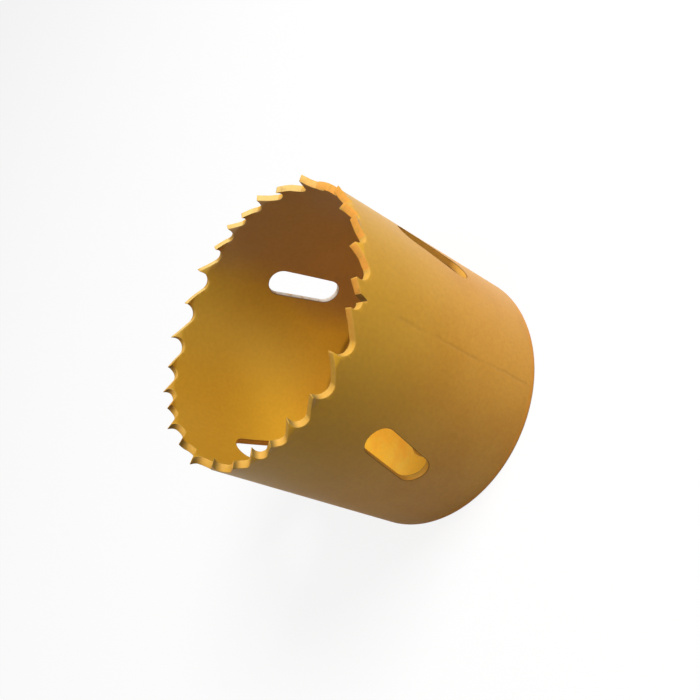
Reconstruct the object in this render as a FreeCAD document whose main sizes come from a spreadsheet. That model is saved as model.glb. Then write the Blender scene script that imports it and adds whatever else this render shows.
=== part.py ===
import FreeCAD, Part
import Sketcher
import math
import os

# A hole saw. A steel strip is toothed and punched, rolled into the wall of a cup and butt welded,
# and a thick disc with the arbor thread is welded into the closed end.
# The origin is the centre of the closed end's outer face, and +Z points to the teeth. Angles run
# counter-clockwise, seen from the teeth. Lengths are in millimetres and angles in degrees.

V = FreeCAD.Vector
AXIS = V(0, 0, 1)
CENTRE = V(0, 0, 0)

# Lengths closer than this are the same when an edge is looked up
SAME = 1e-6

SIZES = (
    ("body_diameter", 50.2, "outside of the rolled wall"),
    ("wall_thickness", 1.25, "thickness of the strip"),
    ("overall_height", 43.2, "closed end to tooth tips"),
    ("rim_chamfer", 0.3, "outer corner of the closed end"),
    ("rake_angle", 8.0, "how far a tooth's front leans over its gullet"),
    ("flank_angle", 32.0, "slope of a tooth's back"),
    ("gullet_roundness", 0.29, "gullet radius over its pitch"),
    ("tip_land", 0.12, "flat left at a tooth's tip"),
    ("tooth_set", 0.5, "how far a set tip leans out or in"),
    ("bend_clearance", 0.1, "bend line above the shallowest gullet"),
    ("seam_angle", 315.3, "where the ends of the strip are welded"),
    ("first_tip", 2.7, "weld to the first tooth's tip"),
    ("notch_mouth", 2.2, "width of the notch in the weld, at tip height"),
    ("notch_floor", 0.3, "width at the bottom of the notch"),
    ("notch_depth", 2.6, "tooth tips to the bottom of the notch"),
    ("slot_count", 4, "slots for pushing out the plug"),
    ("slot_width", 5.2, "across a slot"),
    ("slot_length", 15.4, "over the round ends of a slot"),
    ("slot_height", 22.2, "closed end to the middle of a slot"),
    ("slot_slant", 14.8, "how far a slot leans from upright"),
    ("plate_thickness", 5.0, "end plate"),
    ("weld_groove", 0.5, "corner taken off the plate at its weld"),
    ("thread_bore", 14.5, "minor diameter of the arbor thread"),
    ("thread_lead", 0.8, "chamfer at both ends of the thread"),
    ("pin_hole", 6.5, "hole for a drive pin"),
    ("pin_circle", 23.8, "circle through the pin holes"),
    ("pin_count", 4, "pin holes"),
    ("pin_turn", 77.0, "first pin hole, round from the first slot"),
    ("blank_parting", 0.1, "gap between two teeth's blanks, inside their gullet"),
    ("cut_margin", 0.3, "how far a cutting shape passes the metal"),
)

# The pitches that the toothing tool mills along the strip, over and over
PITCHES = (6.1, 4.7, 4.2, 4.1, 5.7, 5.9, 6.45, 5.7, 4.5, 4.15, 4.45, 5.4, 6.6, 6.65)


def make_sheet(doc):
    """The spreadsheet of driving sizes, one named cell each."""
    sheet = doc.addObject("Spreadsheet::Sheet", "sizes")
    pitches = [(f"pitch_{n}", pitch, "tooth pitch along the strip")
               for n, pitch in enumerate(PITCHES, start=1)]
    for row, (alias, value, note) in enumerate([*SIZES, *pitches], start=1):
        sheet.set(f"A{row}", note)
        sheet.set(f"B{row}", str(value))
        sheet.setAlias(f"B{row}", alias)
    doc.recompute()
    return sheet


def origin_part(body, role):
    """One of a body's own origin planes or axes."""
    return next(item for item in body.Origin.OriginFeatures if item.Role == role)


def new_sketch(body, name, role):
    """A sketch on one of the body's origin planes."""
    sketch = body.newObject("Sketcher::SketchObject", name)
    sketch.AttachmentSupport = [(origin_part(body, role), "")]
    sketch.MapMode = "FlatFace"
    return sketch


def relate(sketch, *constraints):
    """Add geometric constraints, each a tuple of its kind and places."""
    for constraint in constraints:
        sketch.addConstraint(Sketcher.Constraint(*constraint))


def dimension(sketch, name, expression, *constraint):
    """Add a named dimension that follows the sheet."""
    index = sketch.addConstraint(Sketcher.Constraint(*constraint))
    sketch.renameConstraint(index, name)
    sketch.setExpression(f"Constraints.{name}", expression)


def circle_sketch(body, name, radius, expression, centre=CENTRE):
    """A sketch of one circle on the body's base plane."""
    sketch = new_sketch(body, name, "XY_Plane")
    circle = sketch.addGeometry(Part.Circle(centre, AXIS, radius), False)
    dimension(sketch, "round_radius", expression, "Radius", circle, radius)
    return sketch


def pin_sketch(body, size):
    """One drive pin's hole, at the end of a line from the centre."""
    reach = size("pin_circle") / 2
    turn = math.radians(size("pin_turn"))
    centre = V(math.cos(turn), math.sin(turn), 0) * reach
    sketch = circle_sketch(body, "pin_outline", size("pin_hole") / 2, "sizes.pin_hole / 2", centre)
    sketch.addGeometry(Part.LineSegment(CENTRE, centre), True)
    relate(sketch, ("Coincident", 1, 1, -1, 1), ("Coincident", 1, 2, 0, 3))
    dimension(sketch, "reach", "sizes.pin_circle / 2", "Distance", 1, reach)
    dimension(sketch, "turn", "sizes.pin_turn", "Angle", 1, turn)
    return sketch


def wall_section(body, size):
    """Half section of the rolled wall: a strip on edge, its outer bottom corner chamfered."""
    outer = size("body_diameter") / 2
    inner = outer - size("wall_thickness")
    chamfer = size("rim_chamfer")
    top = size("overall_height")
    corners = (V(inner, 0, 0), V(outer - chamfer, 0, 0), V(outer, chamfer, 0), V(outer, top, 0),
               V(inner, top, 0))
    sketch = new_sketch(body, "wall_section", "XZ_Plane")
    sides = len(corners)
    for n, corner in enumerate(corners):
        sketch.addGeometry(Part.LineSegment(corner, corners[(n + 1) % sides]), False)
    relate(sketch, *(("Coincident", n, 2, (n + 1) % sides, 1) for n in range(sides)))
    relate(sketch, ("PointOnObject", 0, 1, -1), ("Horizontal", 0), ("Vertical", 2),
           ("Horizontal", 3), ("Vertical", 4))
    dimension(sketch, "inside", "sizes.body_diameter / 2 - sizes.wall_thickness",
              "DistanceX", -1, 1, 0, 1, inner)
    dimension(sketch, "thickness", "sizes.wall_thickness", "DistanceX", 0, 1, 2, 1,
              size("wall_thickness"))
    dimension(sketch, "chamfer_across", "sizes.rim_chamfer", "DistanceX", 0, 2, 1, 2, chamfer)
    dimension(sketch, "chamfer_up", "sizes.rim_chamfer", "DistanceY", 1, 1, 1, 2, chamfer)
    sketch.addGeometry(Part.Point(V(0, top, 0)), True)
    relate(sketch, ("PointOnObject", sides, 1, -2), ("Horizontal", sides, 1, 3, 1))
    dimension(sketch, "bend_line", "tooth_layout.bend_line", "DistanceY", -1, 1, sides, 1, top)
    return sketch


def slot_sketch(body, size):
    """One slot seen from outside: a straight slot with round ends that leans to the right."""
    radius = size("slot_width") / 2
    run = size("slot_length") - size("slot_width")
    slant = math.radians(size("slot_slant"))
    middle = V(0, size("slot_height"), 0)
    along = V(math.sin(slant), math.cos(slant), 0)
    across = V(math.cos(slant), -math.sin(slant), 0)
    top = middle + along * run / 2
    bottom = middle - along * run / 2
    sketch = new_sketch(body, "slot_outline", "YZ_Plane")
    sketch.addGeometry(Part.ArcOfCircle(Part.Circle(top, AXIS, radius), -slant, math.pi - slant), False)
    sketch.addGeometry(Part.LineSegment(top - across * radius, bottom - across * radius), False)
    sketch.addGeometry(Part.ArcOfCircle(Part.Circle(bottom, AXIS, radius), math.pi - slant,
                                        2 * math.pi - slant), False)
    sketch.addGeometry(Part.LineSegment(bottom + across * radius, top + across * radius), False)
    sketch.addGeometry(Part.LineSegment(bottom, top), True)
    sketch.addGeometry(Part.Point(middle), True)
    relate(sketch, ("Tangent", 0, 2, 1, 1), ("Tangent", 1, 2, 2, 1), ("Tangent", 2, 2, 3, 1),
           ("Tangent", 3, 2, 0, 1), ("Equal", 0, 2), ("Coincident", 4, 1, 2, 3),
           ("Coincident", 4, 2, 0, 3), ("PointOnObject", 5, 1, -2), ("Symmetric", 4, 1, 4, 2, 5, 1))
    dimension(sketch, "end_radius", "sizes.slot_width / 2", "Radius", 0, radius)
    dimension(sketch, "run", "sizes.slot_length - sizes.slot_width", "Distance", 4, run)
    dimension(sketch, "middle_height", "sizes.slot_height", "DistanceY", -1, 1, 5, 1,
              size("slot_height"))
    dimension(sketch, "slant", "sizes.slot_slant", "Angle", 4, 1, -2, 1, slant)
    return sketch


def rolled_wall(doc, size):
    """The rolled strip below the bend line of its teeth, with its slots."""
    body = doc.addObject("PartDesign::Body", "rolled_wall")
    wall = body.newObject("PartDesign::Revolution", "rolled_strip")
    wall.Profile = wall_section(body, size)
    wall.ReferenceAxis = (origin_part(body, "Z_Axis"), [""])
    wall.Angle = 360
    slot = body.newObject("PartDesign::Pocket", "slot")
    slot.Profile = slot_sketch(body, size)
    slot.Type = "Length"
    slot.setExpression("Length", "sizes.body_diameter / 2 + sizes.cut_margin")
    slot.Reversed = True
    slots = body.newObject("PartDesign::PolarPattern", "slots")
    slots.Originals = [slot]
    slots.Axis = (origin_part(body, "Z_Axis"), [""])
    slots.Angle = 360
    slots.setExpression("Occurrences", "sizes.slot_count")
    body.Tip = slots
    return body


class ToothLayout:
    """Where the teeth stand round the rim, and how deep the gullets between them are."""

    def __init__(self, size):
        self.size = size
        self.outer = size("body_diameter") / 2
        self.inner = self.outer - size("wall_thickness")
        self.rolled = (self.outer + self.inner) / 2
        self.slope = math.radians(size("flank_angle"))
        self.rake = math.radians(size("rake_angle"))
        self.pitches = self.strip_pitches()
        self.tips = [math.radians(size("seam_angle")) + size("first_tip") / self.rolled]
        for pitch in self.pitches:
            self.tips.append(self.tips[-1] + pitch / self.rolled)
        shallowest = min(self.gullet_depth(pitch) for pitch in self.pitches)
        self.bend_height = shallowest * self.inner / self.outer - size("bend_clearance")
        self.top = size("overall_height")
        self.bend_line = self.top - self.bend_height

    def strip_pitches(self):
        """The tool's row of pitches over and over, then what is left over across the weld."""
        row = [self.size(f"pitch_{n}") for n in range(1, len(PITCHES) + 1)]
        left = 2 * math.pi * self.rolled
        pitches = []
        while left - row[len(pitches) % len(row)] >= min(row):
            pitches.append(row[len(pitches) % len(row)])
            left -= pitches[-1]
        return [*pitches, left]

    def floor_radius(self, pitch):
        """Radius of a gullet's round floor."""
        return self.size("gullet_roundness") * pitch

    def floor_centre(self, half, radius):
        """Centre of a gullet's round floor, tangent to the rake and to the next tooth's flank:
        across from the middle of the gap, and up from the tips. Half is half the gap."""
        to_rake = radius - half * math.cos(self.rake)
        to_flank = radius - (half - self.size("tip_land")) * math.sin(self.slope)
        share = math.cos(self.rake + self.slope)
        across = (to_rake * math.cos(self.slope) + to_flank * math.sin(self.rake)) / share
        up = (to_rake * math.sin(self.slope) + to_flank * math.cos(self.rake)) / share
        return across, up

    def gullet_depth(self, pitch):
        """Tip to gullet floor."""
        radius = self.floor_radius(pitch)
        return radius - self.floor_centre(pitch / 2, radius)[1]

    def lowest(self, tooth):
        """Angle of the lowest point of the gullet that follows a tooth. Tooth -1 is the last one."""
        turns, tooth = divmod(tooth, len(self.pitches))
        pitch = self.pitches[tooth]
        half = self.outer * math.tan(pitch / self.rolled / 2)
        across, _ = self.floor_centre(half, self.floor_radius(pitch))
        angle = self.tips[tooth] + pitch / self.rolled / 2 + math.atan(across / self.outer)
        return angle + 2 * math.pi * turns

    def lean(self, tooth):
        """Set of a tooth: in and out by turns, and none beside the weld."""
        if tooth in (0, len(self.pitches) - 1):
            return 0
        return self.size("tooth_set") * (-1) ** tooth

    def blank(self, tooth):
        """A tooth's metal above the bend line, leaning out or in, before its gullets are cut."""
        lean = self.lean(tooth)
        foot = V(self.inner, 0, self.bend_line)
        section = Part.makePolygon([foot, V(self.outer, 0, self.bend_line),
                                    V(self.outer + lean, 0, self.top),
                                    V(self.inner + lean, 0, self.top), foot])
        parting = self.size("blank_parting") / self.rolled
        start = self.lowest(tooth - 1) + parting / 2
        sweep = self.lowest(tooth) - parting / 2 - start
        blank = Part.Face(section).revolve(CENTRE, AXIS, math.degrees(sweep))
        blank.rotate(CENTRE, AXIS, math.degrees(start))
        return blank

    def gullet_corners(self, tooth, scale):
        """Corners of a gullet's outline, scaled about the axis at tip height, so that its walls
        are radial: over the rake, its foot, halfway round the floor, the flank's foot, the next
        tip and over that tip."""
        pitch = self.pitches[tooth]
        half = self.outer * math.tan(pitch / self.rolled / 2)
        radius = self.floor_radius(pitch)
        across, up = self.floor_centre(half, radius)
        halfway = (self.slope - self.rake) / 2
        turns = (-math.pi / 2 - self.rake, -math.pi / 4 + halfway, self.slope)
        floor = [(across + radius * math.sin(turn), up - radius * math.cos(turn)) for turn in turns]
        tip = half - self.size("tip_land")
        above = self.size("cut_margin")
        outline = ((above * math.tan(self.rake) - half, above), *floor, (tip, 0), (tip, above))
        return [V(self.outer * scale, x * scale, self.top + y * scale) for x, y in outline]

    def gullet(self, tooth):
        """The cut between a tooth and the next: leaning rake, round floor and sloping flank."""
        half_angle = self.pitches[tooth] / self.rolled / 2
        reach = self.size("tooth_set") + self.size("cut_margin")
        scales = ((self.inner - reach) * math.cos(half_angle) / self.outer,
                  (self.outer + reach) / self.outer)
        near, far = (self.gullet_corners(tooth, scale) for scale in scales)
        floors = [Part.Arc(*corners[1:4]).toShape() for corners in (near, far)]
        faces = [Part.makeRuledSurface(*floors)]
        for corners, floor in zip((near, far), floors):
            straight = Part.makePolygon([*corners[3:], *corners[:2]])
            faces.append(Part.Face(Part.Wire([floor, *straight.Edges])))
        for first, last in ((0, 1), (3, 4), (4, 5), (5, 0)):
            faces.append(Part.Face(Part.makePolygon([near[first], near[last], far[last], far[first],
                                                     near[first]])))
        shell = Part.makeShell(faces)
        shell.sewShape()
        cut = Part.makeSolid(shell)
        if cut.Volume < 0:
            cut.reverse()
        cut.rotate(CENTRE, AXIS, math.degrees(self.tips[tooth] + half_angle))
        return cut


def make_layout(doc, size):
    """Work out the teeth, and keep their bend line where the wall's sketch can read it."""
    layout = ToothLayout(size)
    holder = doc.addObject("App::FeaturePython", "tooth_layout")
    holder.addProperty("App::PropertyLength", "bend_line", "Teeth", "closed end to the bend line")
    holder.bend_line = layout.bend_line
    return layout


def add_shape(doc, name, shapes):
    """A document object for shapes that depend on the whole row of teeth."""
    feature = doc.addObject("Part::Feature", name)
    feature.Shape = Part.makeCompound(shapes)
    return feature


def weld_notch(doc, size):
    """The notch left in the rim by the weld: a wedge that narrows away from the teeth."""
    notch = doc.addObject("Part::Wedge", "weld_notch")
    for side, sign in (("min", "-"), ("max", "")):
        notch.setExpression(f"X{side}", f"{sign}sizes.notch_floor / 2")
        notch.setExpression(f"X2{side}", f"{sign}sizes.notch_mouth / 2")
    notch.Ymin = 0
    notch.setExpression("Ymax", "sizes.notch_depth")
    for edge in ("Z", "Z2"):
        notch.setExpression(f"{edge}min", "sizes.body_diameter / 2 - sizes.wall_thickness"
                            " - sizes.tooth_set - sizes.cut_margin")
        notch.setExpression(f"{edge}max", "sizes.body_diameter / 2 + sizes.tooth_set"
                            " + sizes.cut_margin")
    angle = math.radians(size("seam_angle"))
    outward = V(math.cos(angle), math.sin(angle), 0)
    notch.Placement = FreeCAD.Placement(AXIS * (size("overall_height") - size("notch_depth")),
                                        FreeCAD.Rotation(AXIS.cross(outward), AXIS, outward))
    return notch


def toothed_shell(doc, size):
    """The whole strip: wall, slots, set teeth and the notch in the weld."""
    layout = make_layout(doc, size)
    teeth = range(len(layout.pitches))
    blank = doc.addObject("Part::MultiFuse", "rim_blank")
    blank.Shapes = [rolled_wall(doc, size),
                    add_shape(doc, "tooth_blanks", [layout.blank(tooth) for tooth in teeth])]
    milled = doc.addObject("Part::Cut", "milled_rim")
    milled.Base = blank
    milled.Tool = add_shape(doc, "gullets", [layout.gullet(tooth) for tooth in teeth])
    shell = doc.addObject("Part::Cut", "toothed_shell")
    shell.Base = milled
    shell.Tool = weld_notch(doc, size)
    return shell


def round_edges(shape, radius, heights):
    """Names of the full round edges of a radius that lie at one of the heights."""
    names = []
    for n, edge in enumerate(shape.Edges, start=1):
        round_edge = isinstance(edge.Curve, Part.Circle) and edge.isClosed()
        if round_edge and abs(edge.Curve.Radius - radius) < SAME:
            if any(abs(edge.Curve.Center.z - height) < SAME for height in heights):
                names.append(f"Edge{n}")
    return names


def chamfer_edges(body, name, base, alias, radius, heights):
    """A chamfer round the named edges of the last feature."""
    chamfer = body.newObject("PartDesign::Chamfer", name)
    chamfer.Base = (base, round_edges(base.Shape, radius, heights))
    chamfer.setExpression("Size", f"sizes.{alias}")
    return chamfer


def end_plate(doc, size):
    """The disc in the closed end: threaded for the arbor, with holes for its drive pins."""
    body = doc.addObject("PartDesign::Body", "end_plate")
    inside = size("body_diameter") / 2 - size("wall_thickness")
    thickness = size("plate_thickness")
    disc = body.newObject("PartDesign::Pad", "disc")
    disc.Profile = circle_sketch(body, "disc_outline", inside,
                                 "sizes.body_diameter / 2 - sizes.wall_thickness")
    disc.setExpression("Length", "sizes.plate_thickness")
    bore = body.newObject("PartDesign::Pocket", "thread_bore")
    bore.Profile = circle_sketch(body, "bore_outline", size("thread_bore") / 2,
                                 "sizes.thread_bore / 2")
    pin = body.newObject("PartDesign::Pocket", "pin_hole")
    pin.Profile = pin_sketch(body, size)
    for cut in (bore, pin):
        cut.Type = "Length"
        cut.setExpression("Length", "sizes.plate_thickness + sizes.cut_margin")
        cut.Reversed = True
    pins = body.newObject("PartDesign::PolarPattern", "pin_holes")
    pins.Originals = [pin]
    pins.Axis = (origin_part(body, "Z_Axis"), [""])
    pins.Angle = 360
    pins.setExpression("Occurrences", "sizes.pin_count")
    body.Tip = pins
    doc.recompute()
    lead = chamfer_edges(body, "thread_lead", pins, "thread_lead", size("thread_bore") / 2,
                         (0, thickness))
    doc.recompute()
    body.Tip = chamfer_edges(body, "weld_groove", lead, "weld_groove", inside, (0,))
    return body


def check(doc, pieces):
    """Stop if an object failed, or a piece isn't one sound solid."""
    failed = [item.Label for item in doc.Objects if {"Invalid", "Error"} & set(item.State)]
    if failed:
        raise RuntimeError("not built: " + ", ".join(failed))
    for piece in pieces:
        shape = piece.Shape
        if shape.isNull() or not shape.isValid() or len(shape.Solids) != 1:
            raise RuntimeError(f"{piece.Label} is not one sound solid")


def main():
    """Build both pieces, check them and write their files."""
    doc = FreeCAD.newDocument("hole_saw")
    sheet = make_sheet(doc)
    pieces = [toothed_shell(doc, sheet.get), end_plate(doc, sheet.get)]
    doc.recompute()
    check(doc, pieces)
    os.makedirs("parts", exist_ok=True)
    for piece in pieces:
        piece.Shape.exportStep(f"parts/{piece.Label}.step")
        box = piece.Shape.BoundBox
        print(piece.Label, "volume", round(piece.Shape.Volume, 1), "box",
              [round(x, 2) for x in (box.XMin, box.YMin, box.ZMin, box.XMax, box.YMax, box.ZMax)])


main()
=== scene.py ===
"""Looks of a hole saw: a lacquered steel cup with set teeth and slots, and its threaded end plate.

Lengths are in metres and angles in degrees unless a name says otherwise. The saw stands on its
closed end, with its axis along +Z and its teeth up.
"""

import logging
import math
from dataclasses import dataclass
from enum import Enum

import bmesh
import bpy
from mathutils import Matrix, Vector


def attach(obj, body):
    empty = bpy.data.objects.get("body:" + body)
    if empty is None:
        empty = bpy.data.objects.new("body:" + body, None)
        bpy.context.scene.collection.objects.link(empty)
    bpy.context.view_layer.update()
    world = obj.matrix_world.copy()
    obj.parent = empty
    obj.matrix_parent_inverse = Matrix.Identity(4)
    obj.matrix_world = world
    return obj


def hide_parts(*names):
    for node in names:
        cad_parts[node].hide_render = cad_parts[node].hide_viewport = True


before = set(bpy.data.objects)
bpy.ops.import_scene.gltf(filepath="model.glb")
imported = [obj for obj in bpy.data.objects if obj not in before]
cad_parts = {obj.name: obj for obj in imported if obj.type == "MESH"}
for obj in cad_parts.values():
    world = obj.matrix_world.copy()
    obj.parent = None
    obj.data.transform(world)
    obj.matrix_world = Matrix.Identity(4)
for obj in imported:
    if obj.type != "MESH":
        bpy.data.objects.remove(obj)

log = logging.getLogger("hole_saw")
Colour = tuple[float, float, float]
Reach = tuple[float, float]
MM = 0.001
AXIS = Vector((0, 0, 1))
BODY = "root"
WHITE: Colour = (1.0, 1.0, 1.0)

# Numbers that a mesh carries to its material: each is 1 on its own kind of face or edge.
EDGE_MARK = "edge"
CUT_MARK = "cut"
GROUND_MARK = "ground"
# The rake mark carries painted shade: it grows as a rake turns away from facing up.
RAKE_SHADE_MARK = "rake_shade"

# Points closer than this, in millimetres, are one, and faces within this angle lie in one plane.
WELD = 0.0005
FLAT_WITHIN = 0.2


class Rays(Enum):
    """Light Path outputs that count as seeing the background."""

    CAMERA = "Is Camera Ray"
    GLOSSY = "Is Glossy Ray"
    TRANSMISSION = "Is Transmission Ray"


class Signal:
    """A node's output socket that takes part in sums."""

    def __init__(self, nodes: "Nodes", socket: bpy.types.NodeSocket) -> None:
        """Keep the socket and the tree it is in.

        Args:
            nodes: builder of the tree.
            socket: output socket of a node.
        """
        self.nodes = nodes
        self.socket = socket

    def _maths(self, operation: str, *values: "Value") -> "Signal":
        """Add a Math node.

        Args:
            operation: the node's operation.
            values: its inputs, in order.

        Returns:
            The node's output.
        """
        return self.nodes.add("ShaderNodeMath", {"operation": operation}, dict(enumerate(values)))

    def __add__(self, other: "Value") -> "Signal":
        """This plus other."""
        return self._maths("ADD", self, other)

    def __radd__(self, other: "Value") -> "Signal":
        """Other plus this."""
        return self._maths("ADD", other, self)

    def __sub__(self, other: "Value") -> "Signal":
        """This less other."""
        return self._maths("SUBTRACT", self, other)

    def __rsub__(self, other: "Value") -> "Signal":
        """Other less this."""
        return self._maths("SUBTRACT", other, self)

    def __mul__(self, other: "Value") -> "Signal":
        """This times other."""
        return self._maths("MULTIPLY", self, other)

    def __rmul__(self, other: "Value") -> "Signal":
        """Other times this."""
        return self._maths("MULTIPLY", other, self)

    def __truediv__(self, other: "Value") -> "Signal":
        """This over other."""
        return self._maths("DIVIDE", self, other)

    def __abs__(self) -> "Signal":
        """Size of this."""
        return self._maths("ABSOLUTE", self)

    def hypot(self, other: "Signal") -> "Signal":
        """Length of a line this long across and other long up."""
        return self._maths("SQRT", self * self + other * other)

    def cosine(self) -> "Signal":
        """Cosine of this angle in radians."""
        return self._maths("COSINE", self)

    def larger(self, other: "Value") -> "Signal":
        """The larger of this and other."""
        return self._maths("MAXIMUM", self, other)

    def fade(self, start: float, end: float) -> "Signal":
        """Smooth step on this value.

        Args:
            start: value that gives 0.
            end: value that gives 1.

        Returns:
            A value from 0 to 1.
        """
        rising = start < end
        return self.nodes.add("ShaderNodeMapRange", {"interpolation_type": "SMOOTHSTEP"}, {
            "Value": self, "From Min": min(start, end), "From Max": max(start, end),
            "To Min": float(not rising), "To Max": float(rising)})


Value = float | Signal
Paint = Colour | Signal


class Nodes:
    """Builds one node tree."""

    def __init__(self, tree: bpy.types.NodeTree) -> None:
        """Empty the tree.

        Args:
            tree: a material's or the world's node tree.
        """
        self.tree = tree
        tree.nodes.clear()

    def add(self, kind: str, settings: dict | None = None, inputs: dict | None = None,
            output: int | str = 0) -> Signal:
        """Add a node.

        Args:
            kind: the node's type.
            settings: its properties.
            inputs: values or signals by the input's name or number.
            output: the output's name or number.

        Returns:
            The output as a signal.
        """
        node = self.tree.nodes.new(kind)
        for name, value in (settings or {}).items():
            setattr(node, name, value)
        for key, value in (inputs or {}).items():
            socket = node.inputs[key]
            if isinstance(value, Signal):
                self.tree.links.new(value.socket, socket)
            elif isinstance(value, tuple) and socket.type == "RGBA":
                socket.default_value = (*value, 1.0)
            else:
                socket.default_value = value
        return Signal(self, node.outputs[output] if node.outputs else None)

    def attribute(self, name: str) -> Signal:
        """A number that the mesh carries."""
        return self.add("ShaderNodeAttribute", {"attribute_name": name}, output="Fac")

    def place(self) -> Signal:
        """Object coordinates."""
        return self.add("ShaderNodeTexCoord", output="Object")

    def axes(self) -> tuple[Signal, Signal, Signal]:
        """The three object coordinates as values."""
        split = self.add("ShaderNodeSeparateXYZ", inputs={"Vector": self.place()})
        outputs = split.socket.node.outputs
        return tuple(Signal(self, outputs[n]) for n in range(3))

    def noise(self, size: float, detail: float = 2.0) -> Signal:
        """Cloudy noise.

        Args:
            size: length of one blot.
            detail: octaves.

        Returns:
            A value from 0 to 1, about 0.5 on average.
        """
        return self.add("ShaderNodeTexNoise", inputs={"Vector": self.place(), "Scale": 1 / size,
                                                      "Detail": detail})

    def mix(self, share: Value, first: Paint, second: Paint, blend: str = "MIX") -> Signal:
        """Mix two colours.

        Args:
            share: 0 for the first, 1 for the second.
            first: colour that is seen at 0.
            second: colour that is seen at 1.
            blend: blend mode.

        Returns:
            The mixed colour.
        """
        settings = {"data_type": "RGBA", "blend_type": blend}
        # The node has inputs for each type of data: 0, 6 and 7 in and 2 out are the colours' own.
        return self.add("ShaderNodeMix", settings, {0: share, 6: first, 7: second}, output=2)

    def seen(self) -> Signal:
        """1 for the rays that see the background, 0 for those that carry its light."""
        path = self.add("ShaderNodeLightPath").socket.node.outputs
        first, *others = (Signal(self, path[ray.value]) for ray in Rays)
        for other in others:
            first = first.larger(other)
        return first


@dataclass(frozen=True)
class Lacquer:
    """Satin golden tan lacquer sprayed over steel.

    The coat is cloudy where it is thicker or thinner, its cut faces and sharp edges have colours
    of their own, the teeth's rakes carry painted shade, and its surface has the fine grain of
    sprayed paint. A reach is the pair of values between which a colour or a mark fades in.
    """

    name: str
    slot: str
    thick: Colour = (0.72, 0.305, 0.016)
    thin: Colour = (0.83, 0.400, 0.038)
    cut: Colour = (0.69, 0.375, 0.062)
    ground: Colour = (0.87, 0.370, 0.050)
    # Painted shade on the teeth's rakes, darker the less they face up.
    rake_shade: Colour = (0.15, 0.120, 0.034)
    edge: Colour = (0.84, 0.600, 0.240)
    rake_shade_share: float = 0.7
    cut_share: float = 0.85
    cut_dullness: float = 0.3
    edge_dullness: float = 0.2
    edge_share: float = 0.7
    edge_full: float = 0.7
    roughness: float = 0.42
    gloss_size: float = 4.7 * MM
    gloss_change: float = 0.08
    specular: float = 0.32
    cloud_size: float = 14 * MM
    cloud_reach: Reach = (0.35, 0.65)
    dust: Colour = (0.95, 0.94, 0.94)
    dust_size: float = 0.7 * MM
    dust_reach: Reach = (0.35, 0.65)
    fresh_size: float = 1.5 * MM
    fresh_reach: Reach = (0.2, 0.5)
    speck_size: float = 0.35 * MM
    speck_reach: Reach = (0.25, 0.75)
    speck_share: float = 0.5
    peel_size: float = 1.1 * MM
    peel_height: float = 0.012 * MM

    def material(self) -> bpy.types.Material:
        """Build the material.

        Returns:
            The finished material.
        """
        made = bpy.data.materials.new(self.name)
        made.use_nodes = True
        nodes = Nodes(made.node_tree)
        colour, height, rough = self.marks(nodes, self.coat(nodes))
        fresh = nodes.noise(self.fresh_size, detail=3.0).fade(*self.fresh_reach)
        cut = nodes.attribute(CUT_MARK)
        colour = nodes.mix(cut * fresh * self.cut_share, colour, self.cut_colour(nodes))
        colour = nodes.mix(nodes.attribute(GROUND_MARK) * fresh, colour,
                           self.ground_colour(nodes))
        # Painted shade on the teeth's rakes, darker the less they face up.
        colour = nodes.mix(nodes.attribute(RAKE_SHADE_MARK) * self.rake_shade_share, colour, self.rake_shade)
        worn = nodes.attribute(EDGE_MARK).fade(0.0, self.edge_full)
        colour = nodes.mix(worn * self.edge_share, colour, self.edge_colour(nodes))
        rough = rough + cut * self.cut_dullness + worn * self.edge_dullness
        dust = nodes.noise(self.dust_size, detail=3.0).fade(*self.dust_reach)
        colour = nodes.mix(dust, colour, nodes.mix(1.0, colour, self.dust, "MULTIPLY"))
        height = height + nodes.noise(self.peel_size) * self.peel_height
        normal = nodes.add("ShaderNodeBump", inputs={"Height": height, "Strength": 1.0,
                                                     "Distance": 1.0})
        shader = nodes.add("ShaderNodeBsdfPrincipled", inputs={
            "Base Color": colour, "Roughness": rough, "Normal": normal,
            "Specular IOR Level": self.specular, "Metallic": 0.0})
        nodes.add("ShaderNodeOutputMaterial", inputs={"Surface": shader})
        return made

    def cut_colour(self, nodes: Nodes) -> Paint:
        """Colour of a cut face."""
        return self.cut

    def ground_colour(self, nodes: Nodes) -> Paint:
        """Colour of a tooth's ground back."""
        return self.ground

    def edge_colour(self, nodes: Nodes) -> Paint:
        """Colour of a worn edge."""
        return self.edge

    def coat(self, nodes: Nodes) -> Signal:
        """Colour of the coat by its thickness.

        Args:
            nodes: the material's tree.

        Returns:
            The colour.
        """
        clouds = nodes.noise(self.cloud_size, detail=4.0).fade(*self.cloud_reach)
        specks = nodes.noise(self.speck_size, detail=1.0).fade(*self.speck_reach)
        share = clouds * (1 - self.speck_share) + specks * self.speck_share
        return nodes.mix(share, self.thick, self.thin)

    def marks(self, nodes: Nodes, colour: Signal) -> tuple[Signal, Value, Signal]:
        """What this piece's own making left in the coat: nothing but uneven gloss.

        Args:
            nodes: the material's tree.
            colour: the coat's colour.

        Returns:
            The colour, the height in metres and the roughness.
        """
        gloss = nodes.noise(self.gloss_size, detail=3.0) - 0.5
        return colour, 0.0, self.roughness + gloss * self.gloss_change


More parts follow.
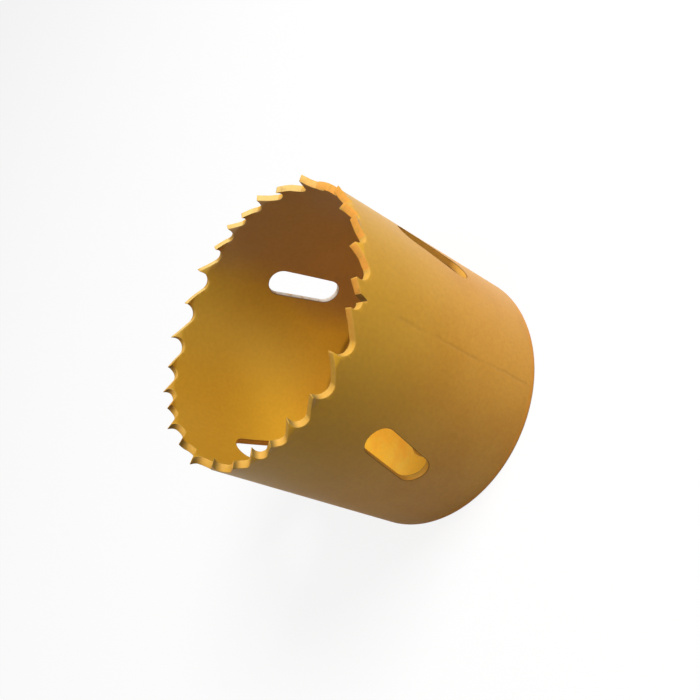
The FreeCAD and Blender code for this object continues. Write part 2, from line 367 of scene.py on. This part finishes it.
@dataclass(frozen=True)
class RolledLacquer(Lacquer):
    """The lacquer on the rolled strip.

    It has a colour of its own inside the cup, with painted light deeper in and painted shade on
    the shadowed side, and shows the mark of the strip's butt weld down the outside. A turn is an
    angle round the axis, from +X towards +Y.
    """

    inside: Colour = (0.56, 0.345, 0.046)
    # Painted light: the inner wall paler deeper in, towards the plate.
    painted_light_deep: Colour = (0.84, 0.600, 0.085)
    # Painted light: a tint on the inner wall's side that the key lamp lights.
    lit_side_tint: Colour = (0.89, 0.760, 0.420)
    lit_side_turn: float = 180.0
    lit_side_reach: Reach = (0.45, 0.95)
    deep_light_reach: Reach = (34 * MM, 11 * MM)
    inside_from: Reach = (24.7 * MM, 24.1 * MM)
    inside_share: float = 0.88
    # Painted shade in the inner corner at the plate.
    painted_corner_shade: Colour = (0.30, 0.190, 0.030)
    corner_reach: Reach = (6.4 * MM, 5.2 * MM)
    corner_share: float = 0.7
    # Painted shade on the inner wall's side away from the key lamp.
    painted_shadow_side: Colour = (0.43, 0.270, 0.130)
    shadow_side_turn: float = 45.0
    shadow_side_reach: Reach = (0.48, 0.80)
    shadow_side_patches: float = 0.25
    # Painted highlight on the teeth's backs on one side of the cup, and painted shade opposite.
    painted_highlight_ground: Colour = (0.77, 0.525, 0.160)
    highlight_ground_turn: float = 95.0
    highlight_ground_reach: Reach = (0.1, 0.7)
    painted_shade_ground: Colour = (0.575, 0.310, 0.033)
    shade_ground_reach: Reach = (-0.7, -1.0)
    # Painted shade: the wall darker towards the teeth.
    painted_rim_shade: Colour = (0.66, 0.370, 0.018)
    rim_shade_reach: Reach = (12 * MM, 40 * MM)
    rim_shade_share: float = 0.6
    # Painted highlight: a brighter band round the foot.
    painted_foot_highlight: Colour = (0.86, 0.340, 0.008)
    foot_highlight_reach: Reach = (1.25 * MM, 0.95 * MM)
    foot_highlight_share: float = 0.9
    slot_cut: Colour = (0.78, 0.400, 0.060)
    # Painted light: the slot walls on one side of the cup painted near white.
    painted_white_slot: Colour = (0.95, 0.900, 0.800)
    white_slot_turn: float = 90.0
    white_slot_reach: Reach = (0.4, 0.8)
    slot_edge: Colour = (0.16, 0.060, 0.010)
    tooth_edge: Colour = (0.58, 0.360, 0.080)
    above_slots: Reach = (33 * MM, 34 * MM)
    # Painted shade on the notch's upper face, beside the seam.
    painted_notch_shade: Colour = (0.12, 0.065, 0.018)
    notch_shade_foot: Reach = (39.2 * MM, 40.2 * MM)
    notch_shade_start: Reach = (-0.05 * MM, 0.1 * MM)
    notch_shade_end: Reach = (1.4 * MM, 1.1 * MM)
    wall_radius: float = 24.4 * MM
    seam_turn: float = 315.3
    seam_width: float = 0.5 * MM
    seam_depth: float = 0.03 * MM
    seam_end: Reach = (35 * MM, 33 * MM)
    seam_side: Reach = (0.0, 1 * MM)
    seam_wander: float = 1.4 * MM
    wander_size: float = 7 * MM
    break_size: float = 4 * MM
    break_reach: Reach = (0.35, 0.6)
    seam_least: float = 0.1
    seam_share: float = 0.2
    seam_shade: Colour = (0.36, 0.150, 0.020)

    def marks(self, nodes: Nodes, colour: Signal) -> tuple[Signal, Value, Signal]:
        """Painted shade towards the teeth and a painted highlight at the foot, the inside colour,
        and the butt weld's line, broken where the grinder took it off.

        Args:
            nodes: the material's tree.
            colour: the coat's colour.

        Returns:
            The colour, the height in metres and the roughness.
        """
        colour, height, rough = super().marks(nodes, colour)
        x, y, z = nodes.axes()
        # Painted shade: the wall darker towards the teeth.
        colour = nodes.mix(z.fade(*self.rim_shade_reach) * self.rim_shade_share, colour, self.painted_rim_shade)
        within = x.hypot(y).fade(*self.inside_from)
        colour = nodes.mix(within * self.inside_share, colour, self.inside_colour(nodes))
        # Painted highlight: a brighter band round the foot.
        colour = nodes.mix(z.fade(*self.foot_highlight_reach) * self.foot_highlight_share, colour, self.painted_foot_highlight)
        aside, ahead = self.from_seam(x, y)
        wander = (nodes.noise(self.wander_size) - 0.5) * self.seam_wander
        line = abs(aside + wander).fade(self.seam_width, 0.0)
        line = line * ahead.fade(*self.seam_side) * z.fade(*self.seam_end)
        broken = nodes.noise(self.break_size, detail=3.0).fade(*self.break_reach)
        line = line * (self.seam_least + (1 - self.seam_least) * broken)
        colour = nodes.mix(line * self.seam_share, colour, self.seam_shade)
        return colour, height - line * self.seam_depth, rough

    def inside_colour(self, nodes: Nodes) -> Signal:
        """Colour inside the cup: painted light deeper in and a painted light tint on the lit side,
        and painted shade in the corner at the plate and on the shadowed side.

        Args:
            nodes: the material's tree.

        Returns:
            The colour.
        """
        _, _, z = nodes.axes()
        # Painted light: the inner wall paler deeper in, towards the plate.
        clean = nodes.mix(z.fade(*self.deep_light_reach), self.inside, self.painted_light_deep)
        # Painted shade in the inner corner at the plate.
        clean = nodes.mix(z.fade(*self.corner_reach) * self.corner_share, clean,
                          self.painted_corner_shade)
        # Painted light: a tint on the inner wall's side that the key lamp lights.
        lit_side = self.facing(nodes, self.lit_side_turn).fade(*self.lit_side_reach)
        clean = nodes.mix(lit_side, clean, nodes.mix(1.0, clean, self.lit_side_tint, "MULTIPLY"))
        # Painted shade on the inner wall's side away from the key lamp, in patches.
        patchy = (nodes.noise(self.cloud_size, detail=4.0) - 0.5) * self.shadow_side_patches
        share = (self.facing(nodes, self.shadow_side_turn) + patchy).fade(*self.shadow_side_reach)
        return nodes.mix(share, clean, self.painted_shadow_side)

    def facing(self, nodes: Nodes, angle: float) -> Signal:
        """How near the wall's side is to an angle round the axis: 1 there and -1 opposite.

        Args:
            nodes: the material's tree.
            angle: the angle in degrees.

        Returns:
            The value.
        """
        x, y, _ = nodes.axes()
        turn = math.radians(angle)
        return (x * math.cos(turn) + y * math.sin(turn)) / self.wall_radius

    def ground_colour(self, nodes: Nodes) -> Signal:
        """Tan, but paler with a painted highlight on one side of the cup, and darker with painted
        shade opposite.

        Args:
            nodes: the material's tree.

        Returns:
            The colour.
        """
        # Painted highlight on one side of the cup, painted shade opposite.
        side = self.facing(nodes, self.highlight_ground_turn)
        colour = nodes.mix(side.fade(*self.highlight_ground_reach), self.ground, self.painted_highlight_ground)
        return nodes.mix(side.fade(*self.shade_ground_reach), colour, self.painted_shade_ground)

    def from_seam(self, x: Signal, y: Signal) -> tuple[Signal, Signal]:
        """How far a place lies round from the seam, and how far out towards it.

        Args:
            x: its first object coordinate.
            y: its second one.

        Returns:
            The two lengths in metres.
        """
        turn = math.radians(self.seam_turn)
        return (y * math.cos(turn) - x * math.sin(turn), x * math.cos(turn) + y * math.sin(turn))

    def cut_colour(self, nodes: Nodes) -> Signal:
        """Pale at the teeth, brown in the slots but painted near white as painted light in one,
        and painted shade at the notch.

        Args:
            nodes: the material's tree.

        Returns:
            The colour.
        """
        x, y, z = nodes.axes()
        aside, ahead = self.from_seam(x, y)
        # Painted shade on the notch's upper face, beside the seam.
        past = aside.fade(*self.notch_shade_start) * aside.fade(*self.notch_shade_end)
        notch_shaded = past * ahead.fade(*self.seam_side) * z.fade(*self.notch_shade_foot)
        # Painted light: the slot walls on one side of the cup painted near white.
        whitened = self.facing(nodes, self.white_slot_turn).fade(*self.white_slot_reach)
        slot = nodes.mix(whitened, self.slot_cut, self.painted_white_slot)
        colour = nodes.mix(z.fade(*self.above_slots), slot, self.cut)
        return nodes.mix(notch_shaded, colour, self.painted_notch_shade)

    def edge_colour(self, nodes: Nodes) -> Signal:
        """Tan at the teeth, and dark round the punched slots and the closed end.

        Args:
            nodes: the material's tree.

        Returns:
            The colour.
        """
        _, _, z = nodes.axes()
        return nodes.mix(z.fade(*self.above_slots), self.slot_edge, self.tooth_edge)


@dataclass(frozen=True)
class TurnedLacquer(Lacquer):
    """The lacquer on the end plate, over the rings that facing it on a lathe left."""

    thick: Colour = (0.92, 0.520, 0.035)
    thin: Colour = (0.95, 0.640, 0.090)
    blot: Colour = (0.90, 0.400, 0.030)
    blot_size: float = 4.5 * MM
    blot_reach: Reach = (0.42, 0.68)
    blot_share: float = 0.7
    ring_pitch: float = 0.22 * MM
    ring_height: float = 0.006 * MM
    corner_reach: Reach = (22.7 * MM, 23.7 * MM)
    corner_share: float = 0.75
    corner_shade: Colour = (0.28, 0.140, 0.016)

    def marks(self, nodes: Nodes, colour: Signal) -> tuple[Signal, Value, Signal]:
        """Lathe rings, blotches where the coat ran, and painted shade in the corner at the wall.

        Args:
            nodes: the material's tree.
            colour: the coat's colour.

        Returns:
            The colour, the height in metres and the roughness.
        """
        colour, height, rough = super().marks(nodes, colour)
        x, y, _ = nodes.axes()
        radius = x.hypot(y)
        rings = (radius * (2 * math.pi / self.ring_pitch)).cosine()
        blotch = nodes.noise(self.blot_size, detail=5.0).fade(*self.blot_reach)
        colour = nodes.mix(blotch * self.blot_share, colour, self.blot)
        # Painted shade in the plate's corner at the wall.
        colour = nodes.mix(radius.fade(*self.corner_reach) * self.corner_share, colour,
                           self.corner_shade)
        return colour, height + rings * self.ring_height, rough


@dataclass(frozen=True)
class Backdrop:
    """The pale studio floor.

    It is white to the camera, pale but shadowed in reflections, and grey to the light that it
    throws back at the saw.
    """

    name: str = "studio_floor"
    white: Colour = (0.95, 0.95, 0.95)
    grey: Colour = (0.22, 0.22, 0.22)
    glow_share: float = 0.85

    def material(self) -> bpy.types.Material:
        """Build the material.

        Returns:
            The finished material.
        """
        made = bpy.data.materials.new(self.name)
        made.use_nodes = True
        nodes = Nodes(made.node_tree)
        dull = nodes.add("ShaderNodeBsdfDiffuse", inputs={"Color": self.grey})
        pale = nodes.add("ShaderNodeBsdfDiffuse", inputs={"Color": self.white})
        glow = nodes.add("ShaderNodeEmission", inputs={"Color": WHITE, "Strength": 1.0})
        mirrored = nodes.add("ShaderNodeLightPath", output=Rays.GLOSSY.value)
        glowing = (1 - mirrored) * self.glow_share
        shown = nodes.add("ShaderNodeMixShader", inputs={0: glowing, 1: pale, 2: glow})
        both = nodes.add("ShaderNodeMixShader", inputs={0: nodes.seen(), 1: dull, 2: shown})
        nodes.add("ShaderNodeOutputMaterial", inputs={"Surface": both})
        return made


def new_object(name: str, shape: bmesh.types.BMesh, unit: float = 1.0) -> bpy.types.Object:
    """Make a scene object of a bmesh and free the bmesh.

    Args:
        name: the piece's name.
        shape: its mesh, in place.
        unit: length of the mesh's unit in metres.

    Returns:
        The object.
    """
    mesh = bpy.data.meshes.new(name)
    bmesh.ops.scale(shape, vec=Vector((unit, unit, unit)), verts=shape.verts)
    shape.to_mesh(mesh)
    shape.free()
    piece = bpy.data.objects.new(name, mesh)
    bpy.context.scene.collection.objects.link(piece)
    return piece


@dataclass(frozen=True)
class EdgeRounding:
    """The small round that tumbling and paint give a sharp edge. Lengths are in millimetres."""

    width: float = 0.05
    segments: int = 2
    sharper_than: float = 32.0

    def sharp_edges(self, shape: bmesh.types.BMesh) -> list[bmesh.types.BMEdge]:
        """Edges that this rounding is for.

        Args:
            shape: the mesh in millimetres.

        Returns:
            The edges.
        """
        bend = math.radians(self.sharper_than)
        return [edge for edge in shape.edges
                if edge.is_manifold and edge.calc_face_angle(0.0) > bend]

    def apply(self, shape: bmesh.types.BMesh, edges: list[bmesh.types.BMEdge]) -> None:
        """Round edges, and mark the middle of each round.

        Args:
            shape: the mesh in millimetres, changed in place.
            edges: the edges to round.
        """
        made = bmesh.ops.bevel(shape, geom=edges, offset=self.width, offset_type="OFFSET",
                               segments=self.segments, profile=0.5, affect="EDGES",
                               material=-1, clamp_overlap=False)
        layer = shape.verts.layers.float.get(EDGE_MARK) or shape.verts.layers.float.new(EDGE_MARK)
        rounds = set(made["faces"])
        for vert in {vert for face in rounds for vert in face.verts}:
            if all(face in rounds for face in vert.link_faces):
                vert[layer] = 1.0


def merged_copy(node: str) -> bmesh.types.BMesh:
    """A copy of a CAD node's mesh with its loose triangles merged and its flats made whole.

    Args:
        node: the CAD node.

    Returns:
        The mesh, in millimetres.
    """
    shape = bmesh.new()
    shape.from_mesh(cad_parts[node].data)
    bmesh.ops.scale(shape, vec=Vector((1, 1, 1)) / MM, verts=shape.verts)
    bmesh.ops.remove_doubles(shape, verts=shape.verts, dist=WELD)
    join_flats(shape)
    return shape


def join_flats(shape: bmesh.types.BMesh) -> None:
    """Make one face of the triangles that lie in one plane.

    Args:
        shape: the mesh in millimetres, changed in place.
    """
    bmesh.ops.dissolve_limit(shape, angle_limit=math.radians(FLAT_WITHIN), verts=shape.verts,
                             edges=shape.edges, delimit={"NORMAL"})


@dataclass(frozen=True)
class RolledStrip:
    """Lays a rolled wall out flat, rebuilds it there from its outer skin, and rolls it up again.

    Flat, a point's place is its radius, its way round and its height, in millimetres. The slopes
    are parts of a face's unit normal: through the strip for a skin, along it for a tooth's back.
    """

    parted_at: float = 225.0
    rolled_radius: float = 24.475
    inner_radius: float = 23.85
    outer_radius: float = 25.1
    chord_sag: float = 0.02
    foot: float = 0.4
    slots_below: float = 36.0
    slot_count: int = 4
    top: float = 43.2
    bend_line: float = 41.822
    bend_power: float = 1.4
    closest_tips: float = 1.0
    skin_slope: float = 0.8
    back_slope: float = -0.53
    back_within: float = 0.15
    rake_below: float = 0.6
    rake_full: float = 0.0
    strip_turn: float = 1.5
    levels: tuple[float, ...] = (1.2, 4.0, 12.0, 32.0, 37.5, 40.0, 41.0, 41.82, 42.0, 42.25, 42.5,
                                 42.75, 43.0)
    teeth_round: EdgeRounding = EdgeRounding(width=0.05)
    slot_round: EdgeRounding = EdgeRounding(width=0.18, segments=3)
    foot_round: EdgeRounding = EdgeRounding(width=0.3, segments=2)

    @property
    def length(self) -> float:
        """Length of the flat strip."""
        return 2 * math.pi * self.rolled_radius

    def unroll(self, shape: bmesh.types.BMesh) -> None:
        """Part the ring at one place and lay it flat.

        Args:
            shape: the mesh, changed in place.
        """
        turn = math.radians(self.parted_at)
        ahead = Vector((math.cos(turn), math.sin(turn), 0))
        across = Vector((-math.sin(turn), math.cos(turn), 0))
        near = [face for face in shape.faces if face.calc_center_median().dot(ahead) > 0]
        geometry = [*{edge for face in near for edge in face.edges},
                    *{vert for face in near for vert in face.verts}, *near]
        bmesh.ops.bisect_plane(shape, geom=geometry, plane_no=across, dist=WELD)
        parting = [edge for edge in shape.edges
                   if all(abs(vert.co.dot(across)) < 2 * WELD and vert.co.dot(ahead) > 0
                          for vert in edge.verts)]
        bmesh.ops.split_edges(shape, edges=parting)
        places = []
        for vert in shape.verts:
            aside, forward = vert.co.dot(across), vert.co.dot(ahead)
            radius, way = math.hypot(aside, forward), math.atan2(aside, forward) % (2 * math.pi)
            if abs(aside) < 2 * WELD and forward > 0:
                before = vert.link_faces[0].calc_center_median().dot(across) < 0
                way = 2 * math.pi if before else 0.0
            if abs(radius - self.outer_radius) < self.chord_sag:
                radius = self.outer_radius
            places.append(Vector((radius, way * self.rolled_radius, vert.co.z)))
        for vert, place in zip(shape.verts, places):
            vert.co = place
        shape.normal_update()
        join_flats(shape)

    def keep_outer_skin(self, shape: bmesh.types.BMesh) -> None:
        """Delete all but the outer skin, and bring its foot down over the chamfer.

        Args:
            shape: the flat mesh, changed in place.
        """
        others = [face for face in shape.faces if face.normal.x < self.skin_slope]
        bmesh.ops.delete(shape, geom=others, context="FACES")
        for vert in shape.verts:
            if vert.co.z < self.foot:
                vert.co.z = 0.0

    def tooth_leans(self, shape: bmesh.types.BMesh) -> list[tuple[float, float]]:
        """Find how far each tooth leans out of the strip.

        Args:
            shape: the flat outer skin.

        Returns:
            For each tooth in turn, where its gullet ends and the lean of its tip.
        """
        tips: list[list[bmesh.types.BMVert]] = []
        for vert in sorted(shape.verts, key=lambda vert: vert.co.y):
            if vert.co.z < self.top - WELD:
                continue
            if not tips or vert.co.y - tips[-1][-1].co.y > self.closest_tips:
                tips.append([])
            tips[-1].append(vert)
        leans = [tip[0].co.x - self.outer_radius for tip in tips]
        ends = []
        for tip, after in zip(tips, tips[1:]):
            between = [vert.co for vert in shape.verts if vert.co.z > self.slots_below
                       and tip[-1].co.y < vert.co.y < after[0].co.y]
            ends.append(min(between, key=lambda place: place.z).y)
        return list(zip([*ends, math.inf], leans))

    def straighten(self, shape: bmesh.types.BMesh) -> None:
        """Push the leaning teeth back into the strip's plane.

        Args:
            shape: the flat outer skin, changed in place.
        """
        for vert in shape.verts:
            vert.co.x = self.outer_radius
        shape.normal_update()
        join_flats(shape)

    def inner_place(self, place: Vector) -> Vector:
        """Where the cut through a point of the outer skin comes out on the inner one.

        Slots are punched straight through, and gullets are milled square to the rolled wall.

        Args:
            place: the point of the outer skin.

        Returns:
            The point of the inner skin.
        """
        inner = Vector((self.inner_radius, place.y, place.z))
        if place.z > self.slots_below:
            inner.z = self.top - (self.top - place.z) * self.inner_radius / self.outer_radius
        elif place.z > self.foot:
            turn = place.y / self.rolled_radius + math.radians(self.parted_at)
            step = 2 * math.pi / self.slot_count
            aside = turn - round(turn / step) * step
            wider = math.asin(self.outer_radius * math.sin(aside) / self.inner_radius)
            inner.y += (wider - aside) * self.rolled_radius
        return inner

    def thicken(self, shape: bmesh.types.BMesh) -> None:
        """Give the outer skin its inner one and the cut faces between them.

        Args:
            shape: the flat outer skin, changed in place.
        """
        made = bmesh.ops.extrude_face_region(shape, geom=shape.faces[:], use_keep_orig=True)
        for vert in made["geom"]:
            if isinstance(vert, bmesh.types.BMVert):
                vert.co = self.inner_place(vert.co)
        bmesh.ops.recalc_face_normals(shape, faces=shape.faces)
        ends = [face for face in shape.faces
                if all(vert.co.y < WELD for vert in face.verts)
                or all(vert.co.y > self.length - WELD for vert in face.verts)]
        bmesh.ops.delete(shape, geom=ends, context="FACES_ONLY")

    def mark_cuts(self, shape: bmesh.types.BMesh) -> None:
        """Mark the cut faces, and apart from them the teeth's ground backs and their rakes, graded
        for painted shade.

        Args:
            shape: the flat mesh, changed in place.
        """
        cut = shape.faces.layers.float.new(CUT_MARK)
        ground = shape.faces.layers.float.new(GROUND_MARK)
        rake_shade = shape.faces.layers.float.new(RAKE_SHADE_MARK)
        for face in shape.faces:
            face[cut] = float(abs(face.normal.x) < self.skin_slope)
            is_back = abs(face.normal.y - self.back_slope) < self.back_within
            is_high = face.calc_center_median().z > self.slots_below
            face[ground] = face[cut] * float(is_back and is_high)
            # Painted shade: the rake mark grows as the rake turns away from facing up.
            steep = (self.rake_below - face.normal.z) / (self.rake_below - self.rake_full)
            face[rake_shade] = face[cut] * is_high * float(face.normal.y > 0) * min(max(steep, 0.0), 1.0)

    def round_outlines(self, shape: bmesh.types.BMesh) -> None:
        """Round the outline of each skin: the teeth finely, the slots more, and the foot most.

        Args:
            shape: the flat mesh, changed in place.
        """
        for rounding, low, high in ((self.teeth_round, self.slots_below, math.inf),
                                    (self.slot_round, self.foot, self.slots_below),
                                    (self.foot_round, -math.inf, self.foot)):
            outline = []
            for edge in rounding.sharp_edges(shape):
                skins = sum(abs(face.normal.x) > self.skin_slope for face in edge.link_faces)
                inside = max(vert.co.x for vert in edge.verts) < self.rolled_radius
                height = max(vert.co.z for vert in edge.verts)
                if skins == 1 and low < height < high and not (inside and height < self.foot):
                    outline.append(edge)
            rounding.apply(shape, outline)

    def set_teeth(self, shape: bmesh.types.BMesh, leans: list[tuple[float, float]]) -> None:
        """Lean the teeth out and in again, in a curve and not with a crease at the foot.

        Args:
            shape: the flat mesh, changed in place.
            leans: what tooth_leans gave.
        """
        for vert in shape.verts:
            rise = (vert.co.z - self.bend_line) / (self.top - self.bend_line)
            if rise > 0:
                lean = next(lean for end, lean in leans if vert.co.y <= end)
                vert.co.x += lean * rise ** self.bend_power

    def divide(self, shape: bmesh.types.BMesh) -> None:
        """Cut the flat strip into narrow strips and into levels.

        Args:
            shape: the flat mesh, changed in place.
        """
        count = round(360 / self.strip_turn)
        cuts = [(Vector((0, self.length * number / count, 0)), Vector((0, 1, 0)))
                for number in range(1, count)]
        cuts += [(AXIS * level, AXIS) for level in self.levels]
        for place, across in cuts:
            bmesh.ops.bisect_plane(shape, geom=shape.verts[:] + shape.edges[:] + shape.faces[:],
                                   plane_co=place, plane_no=across, dist=WELD)

    def roll(self, shape: bmesh.types.BMesh) -> None:
        """Roll the strip up and close its ring.

        Args:
            shape: the flat mesh, changed in place.
        """
        for vert in shape.verts:
            turn = vert.co.y / self.rolled_radius + math.radians(self.parted_at)
            vert.co = Vector((vert.co.x * math.cos(turn), vert.co.x * math.sin(turn), vert.co.z))
        bmesh.ops.remove_doubles(shape, verts=shape.verts, dist=WELD)

    def rebuild(self, shape: bmesh.types.BMesh) -> None:
        """Go through all the steps.

        Args:
            shape: the rolled mesh, changed in place.
        """
        self.unroll(shape)
        self.keep_outer_skin(shape)
        leans = self.tooth_leans(shape)
        self.straighten(shape)
        self.thicken(shape)
        self.mark_cuts(shape)
        self.round_outlines(shape)
        self.divide(shape)
        self.set_teeth(shape, leans)
        self.roll(shape)


class Piece:
    """One dressed piece of the saw."""

    smooth_to = 50.0

    def finish(self, piece: bpy.types.Object, finish: Lacquer) -> bpy.types.Object:
        """Smooth the piece, give it its material and set it in the frame.

        Args:
            piece: the piece's object.
            finish: its lacquer.

        Returns:
            The same object.
        """
        piece.data.shade_smooth()
        piece.data.set_sharp_from_angle(angle=math.radians(self.smooth_to))
        weighted = piece.modifiers.new("even_shading", "WEIGHTED_NORMAL")
        weighted.keep_sharp = True
        piece.data.materials.clear()
        piece.data.materials.append(finish.material())
        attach(piece, BODY)
        return piece


@dataclass
class ToothedShell(Piece):
    """The rolled strip with its teeth, slots and weld notch."""

    node: str = "toothed_shell"
    name: str = "lacquered_shell"
    strip: RolledStrip = RolledStrip()
    lacquer: Lacquer = RolledLacquer("rolled_lacquer", "shell_lacquer")

    def build(self) -> bpy.types.Object:
        """Rebuild the wall flat with its edges rounded, roll it up and lacquer it.

        Returns:
            The shell.
        """
        shape = merged_copy(self.node)
        self.strip.rebuild(shape)
        piece = self.finish(new_object(self.name, shape, MM), self.lacquer)
        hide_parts(self.node)
        return piece


@dataclass
class EndPlate(Piece):
    """The disc in the closed end, with the arbor's thread cut in its bore.

    Its own lengths are in millimetres. The edges where the thread runs out stay sharp.
    """

    node: str = "end_plate"
    name: str = "threaded_plate"
    rounding: EdgeRounding = EdgeRounding(width=0.06)
    lacquer: Lacquer = TurnedLacquer("turned_lacquer", "plate_lacquer")
    thickness: float = 5.0
    minor_radius: float = 7.25
    major_radius: float = 7.94
    bore_lead: float = 0.8
    thread_pitch: float = 1.411
    root_flat: float = 0.18
    flank_slope: float = 60.0
    inside: float = 0.22
    lead_turns: float = 1.5
    spare_turns: int = 3
    steps: int = 60

    def groove(self) -> bmesh.types.BMesh:
        """The helix that the tap cuts away, a little longer than the plate is thick.

        Returns:
            The cutting shape, in millimetres.
        """
        depth = self.major_radius - self.minor_radius + self.inside
        mouth = self.root_flat / 2 + depth / math.tan(math.radians(self.flank_slope))
        shape = bmesh.new()
        profile = bmesh.ops.create_circle(shape, cap_ends=True, radius=1.0, segments=4)["verts"]
        root, base = self.root_flat / 2, self.major_radius - depth
        corners = ((self.major_radius, root), (self.major_radius, -root), (base, -mouth),
                   (base, mouth))
        start = -self.lead_turns * self.thread_pitch
        for vert, (reach, up) in zip(profile, corners):
            vert.co = Vector((reach, 0, start + up))
        turns = math.ceil(self.thickness / self.thread_pitch + self.spare_turns)
        bmesh.ops.spin(shape, geom=shape.verts[:] + shape.edges[:] + shape.faces[:],
                       cent=(0, 0, 0), axis=AXIS, dvec=(0, 0, self.thread_pitch / self.steps),
                       angle=2 * math.pi * turns, steps=self.steps * turns, use_merge=False)
        bmesh.ops.recalc_face_normals(shape, faces=shape.faces)
        return shape

    def build(self) -> bpy.types.Object:
        """Cut the thread, round the plate's edges and lacquer it.

        Returns:
            The plate.
        """
        piece = new_object(self.name, merged_copy(self.node))
        groove = new_object("thread_groove", self.groove())
        cut = piece.modifiers.new("tap", "BOOLEAN")
        cut.operation, cut.solver, cut.object = "DIFFERENCE", "EXACT", groove
        graph = bpy.context.evaluated_depsgraph_get()
        shape = bmesh.new()
        shape.from_object(piece, graph)
        for used in (piece, groove):
            bpy.data.objects.remove(used)
        clear_of_bore = self.major_radius + self.bore_lead
        self.rounding.apply(shape, [edge for edge in self.rounding.sharp_edges(shape)
                                    if all(vert.co.xy.length > clear_of_bore
                                           for vert in edge.verts)])
        piece = self.finish(new_object(self.name, shape, MM), self.lacquer)
        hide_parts(self.node)
        return piece


@dataclass
class ClosingWeld(Piece):
    """The rippled bead that fills the groove between the plate and the wall, on the back."""

    name: str = "closing_weld"
    lacquer: Lacquer = Lacquer("weld_lacquer", "plate_lacquer")
    ring_radius: float = 23.66 * MM
    bead_radius: float = 0.27 * MM
    height: float = 0.31 * MM
    ripple: float = 0.10
    ripples: int = 150
    steps: int = 600
    sides: int = 10

    def build(self) -> bpy.types.Object:
        """Spin the bead round the plate and ripple it.

        Returns:
            The bead.
        """
        shape = bmesh.new()
        stand = Matrix.Translation((self.ring_radius, 0, self.height)) @ Matrix.Rotation(
            math.pi / 2, 4, "X")
        bmesh.ops.create_circle(shape, radius=self.bead_radius, segments=self.sides, matrix=stand)
        bmesh.ops.spin(shape, geom=shape.verts[:] + shape.edges[:], cent=(0, 0, 0), axis=AXIS,
                       angle=2 * math.pi, steps=self.steps, use_merge=True)
        bmesh.ops.recalc_face_normals(shape, faces=shape.faces)
        for vert in shape.verts:
            turn = math.atan2(vert.co.y, vert.co.x)
            middle = Vector((math.cos(turn), math.sin(turn), 0)) * self.ring_radius
            middle.z = self.height
            swell = 1 + self.ripple * math.cos(turn * self.ripples)
            vert.co = middle + (vert.co - middle) * swell
        return self.finish(new_object(self.name, shape), self.lacquer)


def towards(azimuth: float, elevation: float) -> Vector:
    """Unit vector towards a place in the sky.

    Args:
        azimuth: counter-clockwise from +X.
        elevation: above the floor.

    Returns:
        The direction.
    """
    around, up = math.radians(azimuth), math.radians(elevation)
    return Vector((math.cos(up) * math.cos(around), math.cos(up) * math.sin(around),
                   math.sin(up)))


@dataclass(frozen=True)
class SoftBox:
    """A square lamp with a diffuser, aimed at the saw."""

    name: str
    azimuth: float
    elevation: float
    distance: float
    size: float
    level: float
    aim_height: float = 22 * MM

    def build(self) -> None:
        """Hang the lamp, with its power worked out from the level that it gives."""
        lamp = bpy.data.lights.new(self.name, "AREA")
        lamp.shape = "SQUARE"
        lamp.size = self.size
        lamp.energy = self.level * (math.pi * self.distance) ** 2
        away = towards(self.azimuth, self.elevation)
        holder = bpy.data.objects.new(self.name, lamp)
        target = AXIS * self.aim_height
        holder.matrix_world = Matrix.Translation(target + away * self.distance) @ (
            away.to_track_quat("Z", "Y").to_matrix().to_4x4())
        bpy.context.scene.collection.objects.link(holder)


@dataclass
class Viewpoint:
    """The photograph's camera: above the saw's teeth, and rolled so that the saw lies over."""

    place: tuple[float, float, float] = (47.30 * MM, -102.71 * MM, 108.52 * MM)
    azimuth: float = -66.26
    elevation: float = 37.465
    roll: float = -65.415
    lens: float = 40.944
    sensor: float = 36.0
    sight: tuple[float, float] = (1 * MM, 50.0)

    def build(self) -> None:
        """Set up the camera."""
        camera = bpy.data.cameras.new("camera")
        camera.lens = self.lens
        camera.sensor_width = camera.sensor_height = self.sensor
        camera.clip_start, camera.clip_end = self.sight
        away = towards(self.azimuth, self.elevation)
        right = AXIS.cross(away).normalized()
        level = Matrix((right, away.cross(right), away)).transposed()
        turned = level @ Matrix.Rotation(math.radians(self.roll), 3, "Z")
        holder = bpy.data.objects.new("camera", camera)
        holder.matrix_world = Matrix.Translation(self.place) @ turned.to_4x4()
        bpy.context.scene.collection.objects.link(holder)
        bpy.context.scene.camera = holder


@dataclass
class Studio:
    """Floor, lamps, world and camera."""

    floor_size: float = 6.0
    lamps: tuple[SoftBox, ...] = (
        SoftBox("key", azimuth=6.0, elevation=46.0, distance=0.55, size=0.26, level=1.03),
        SoftBox("fill", azimuth=-80.0, elevation=76.0, distance=0.7, size=0.5, level=0.32))
    ambient: float = 0.14

    def build_floor(self) -> None:
        """Lay the floor under the saw."""
        shape = bmesh.new()
        bmesh.ops.create_grid(shape, x_segments=1, y_segments=1, size=self.floor_size / 2)
        floor = new_object("floor", shape)
        floor.data.materials.append(Backdrop().material())

    def light_world(self) -> None:
        """Make the world white to the camera and in reflections, and dimmer as a lamp."""
        world = bpy.data.worlds.new("studio")
        bpy.context.scene.world = world
        world.use_nodes = True
        nodes = Nodes(world.node_tree)
        seen = nodes.seen()
        strength = seen + (1 - seen) * self.ambient
        sky = nodes.add("ShaderNodeBackground", inputs={"Color": WHITE, "Strength": strength})
        nodes.add("ShaderNodeOutputWorld", inputs={"Surface": sky})

    def build(self) -> None:
        """Build the whole studio."""
        self.build_floor()
        for lamp in self.lamps:
            lamp.build()
        self.light_world()
        Viewpoint().build()


def main() -> None:
    """Build every piece and the studio."""
    logging.basicConfig(level=logging.INFO, format="%(name)s: %(message)s")
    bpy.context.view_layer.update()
    for part in (ToothedShell(), EndPlate(), ClosingWeld()):
        piece = part.build()
        log.info("%s: %d faces", piece.name, len(piece.data.polygons))
    Studio().build()
    bpy.context.scene.view_settings.view_transform = "Standard"


if __name__ == "__main__":
    main()
